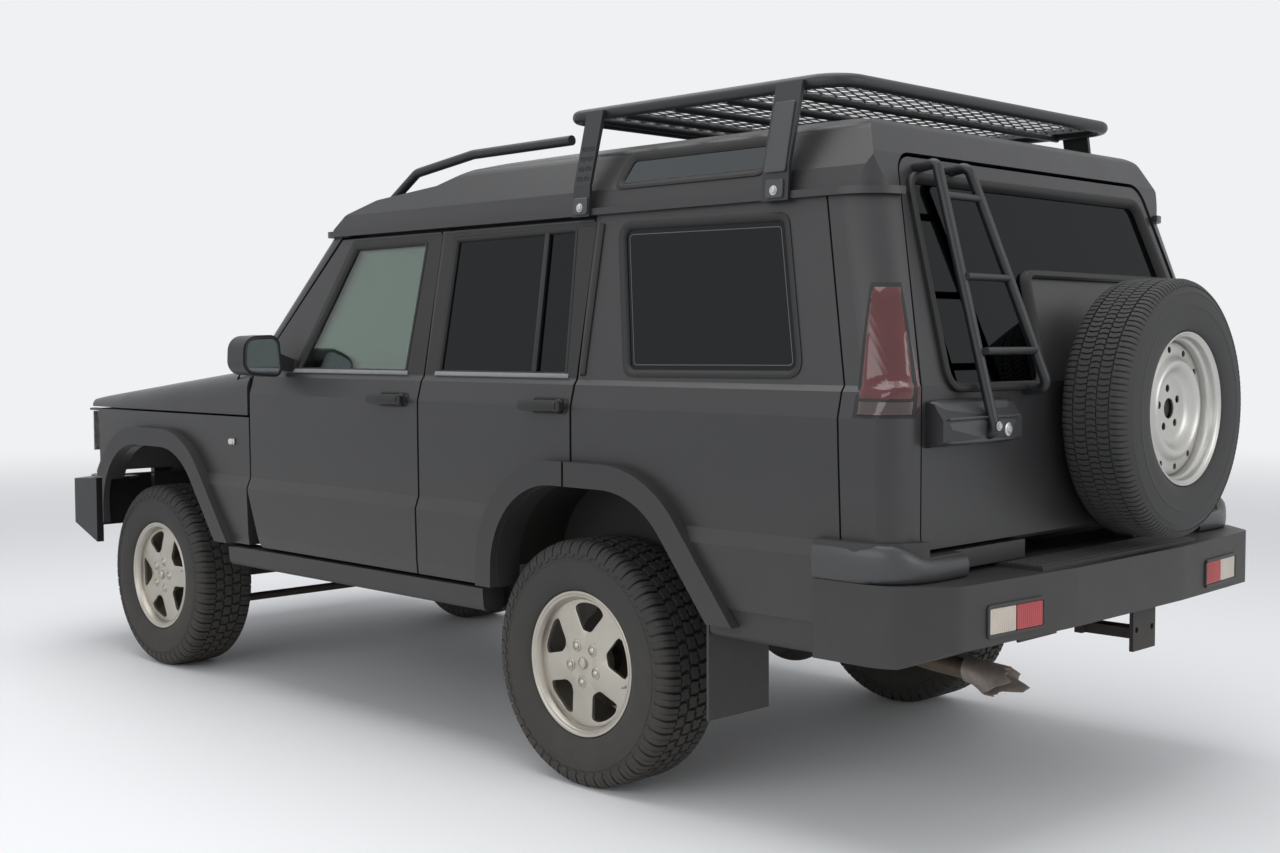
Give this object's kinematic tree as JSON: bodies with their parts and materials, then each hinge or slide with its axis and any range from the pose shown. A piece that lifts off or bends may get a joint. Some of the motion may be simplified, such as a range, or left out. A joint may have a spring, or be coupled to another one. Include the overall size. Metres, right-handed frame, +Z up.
{
  "type": "lifted off-road 4x4 estate car",
  "caption": "Lifted off-road estate car with opening doors, side-hung tailgate with spare wheel and ladder, bonnet, steering, rolling wheels and a mesh roof rack.",
  "frame": {"origin": "centre of the bounding box at ground level, where the tyres stand", "axes": "+X forward along the vehicle, +Y to its left, +Z up"},
  "size_m": [4.719, 2.1716, 2.019],
  "materials": {
    "body_paint": "satin dark grey",
    "trim_plastic": "moulded, matt",
    "black_plastic": "black, matt",
    "clear_glass": "clear",
    "dark_glass": "dark tint",
    "alloy": "silver lacquer",
    "steel_rim": "silver",
    "tyre": "rubber",
    "chassis_black": "chassis black",
    "cast_iron": "cast",
    "engine_alloy": "cast, dull",
    "exhaust_steel": "weathered",
    "powder_coat": "black powder coat",
    "clear_lens": "clear lens",
    "red_lens": "red lens",
    "seat_fabric": "woven",
    "cabin_plastic": "grained"
  },
  "bodies": {
    "body": {"chassis_rails": "chassis_black", "chassis_crossmembers": "chassis_black", "axles": "chassis_black", "suspension": "chassis_black", "fuel_tank": "chassis_black", "tow_bracket": "chassis_black", "floor_pan": "chassis_black", "engine_block": "engine_alloy", "driveline": "engine_alloy", "exhaust": "exhaust_steel", "pillar_frame": "body_paint", "rear_side_panels": "body_paint", "roof_panel": "body_paint", "front_end_panels": "body_paint", "fixed_glass": "dark_glass", "dashboard": "cabin_plastic", "front_seats": "seat_fabric", "rear_seat": "seat_fabric", "rear_bumper": "trim_plastic", "lower_trims": "trim_plastic", "arch_flares": "trim_plastic", "arch_liners": "trim_plastic", "front_bumper": "black_plastic", "grille": "black_plastic", "front_lamps": "clear_lens", "rear_lamps": "red_lens", "roof_rails": "powder_coat", "roof_rack": "powder_coat", "roof_rack_mesh": "powder_coat"},
    "door_front_left_assembly": {"door_front_left": "body_paint", "door_front_left_glass": "clear_glass", "door_front_left_fittings": "black_plastic"},
    "wheel_front_left": {"tyre_front_left": "tyre", "rim_front_left": "alloy"},
    "door_rear_left_assembly": {"door_rear_left": "body_paint", "door_rear_left_glass": "dark_glass", "door_rear_left_fittings": "trim_plastic"},
    "wheel_rear_left": {"tyre_rear_left": "tyre", "rim_rear_left": "alloy"},
    "steering_knuckle_left": {"knuckle_left": "cast_iron"},
    "door_front_right_assembly": {"door_front_right": "body_paint", "door_front_right_glass": "clear_glass", "door_front_right_fittings": "black_plastic"},
    "wheel_front_right": {"tyre_front_right": "tyre", "rim_front_right": "alloy"},
    "door_rear_right_assembly": {"door_rear_right": "body_paint", "door_rear_right_glass": "dark_glass", "door_rear_right_fittings": "trim_plastic"},
    "wheel_rear_right": {"tyre_rear_right": "tyre", "rim_rear_right": "alloy"},
    "steering_knuckle_right": {"knuckle_right": "cast_iron"},
    "tailgate_assembly": {"tailgate": "body_paint", "tailgate_glass": "dark_glass", "tailgate_fittings": "black_plastic", "tailgate_ladder": "powder_coat", "spare_tyre": "tyre", "spare_rim": "steel_rim"},
    "bonnet_assembly": {"bonnet": "body_paint"},
    "steering_wheel_assembly": {"steering_wheel": "cabin_plastic"},
    "track_rod_assembly": {"track_rod": "chassis_black"}
  },
  "joints": [
    {"name": "steer_left", "type": "hinge", "parent": "body", "child": "steering_knuckle_left", "pos_m": [1.5495, 0.63, 0.3675], "axis": [0, 0, 1], "range_deg": [-28, 28]},
    {"name": "steer_right", "type": "hinge", "parent": "body", "child": "steering_knuckle_right", "pos_m": [1.5495, -0.63, 0.3675], "axis": [0, 0, 1], "range_deg": [-28, 28]},
    {"name": "steering_wheel_turn", "type": "hinge", "parent": "body", "child": "steering_wheel_assembly", "pos_m": [0.4775, -0.365, 1.113], "axis": [-0.9285, 0, 0.3714], "range_deg": [-450, 450]},
    {"name": "track_rod_shift", "type": "slide", "parent": "body", "child": "track_rod_assembly", "axis": [0, 1, 0], "range_m": [-0.0915, 0.0915]},
    {"name": "wheel_front_left_spin", "type": "hinge", "parent": "steering_knuckle_left", "child": "wheel_front_left", "pos_m": [1.5495, 0.77, 0.3675], "axis": [0, 1, 0], "continuous": true},
    {"name": "wheel_rear_left_spin", "type": "hinge", "parent": "body", "child": "wheel_rear_left", "pos_m": [-0.9905, 0.78, 0.3675], "axis": [0, 1, 0], "continuous": true},
    {"name": "door_front_left_swing", "type": "hinge", "parent": "body", "child": "door_front_left_assembly", "pos_m": [0.7875, 0.915, 0.9], "axis": [0, 0, -1], "range_deg": [0, 68]},
    {"name": "door_rear_left_swing", "type": "hinge", "parent": "body", "child": "door_rear_left_assembly", "pos_m": [-0.242, 0.915, 0.9], "axis": [0, 0, -1], "range_deg": [0, 68]},
    {"name": "wheel_front_right_spin", "type": "hinge", "parent": "steering_knuckle_right", "child": "wheel_front_right", "pos_m": [1.5495, -0.77, 0.3675], "axis": [0, 1, 0], "continuous": true},
    {"name": "wheel_rear_right_spin", "type": "hinge", "parent": "body", "child": "wheel_rear_right", "pos_m": [-0.9905, -0.78, 0.3675], "axis": [0, 1, 0], "continuous": true},
    {"name": "door_front_right_swing", "type": "hinge", "parent": "body", "child": "door_front_right_assembly", "pos_m": [0.7875, -0.915, 0.9], "axis": [0, 0, 1], "range_deg": [0, 68]},
    {"name": "door_rear_right_swing", "type": "hinge", "parent": "body", "child": "door_rear_right_assembly", "pos_m": [-0.242, -0.915, 0.9], "axis": [0, 0, 1], "range_deg": [0, 68]},
    {"name": "tailgate_swing", "type": "hinge", "parent": "body", "child": "tailgate_assembly", "pos_m": [-2.1295, -0.7805, 0.975], "axis": [0, 0, 1], "range_deg": [0, 88]},
    {"name": "bonnet_lift", "type": "hinge", "parent": "body", "child": "bonnet_assembly", "pos_m": [0.8215, 0, 1.18], "axis": [0, -1, 0], "range_deg": [0, 55]}
  ],
  "couplings": [
    {"joint": "steer_right", "follows": "steer_left", "ratio": 1},
    {"joint": "steering_wheel_turn", "follows": "steer_left", "ratio": 16},
    {"joint": "track_rod_shift", "follows": "steer_left", "m_per_rad": -0.185}
  ]
}
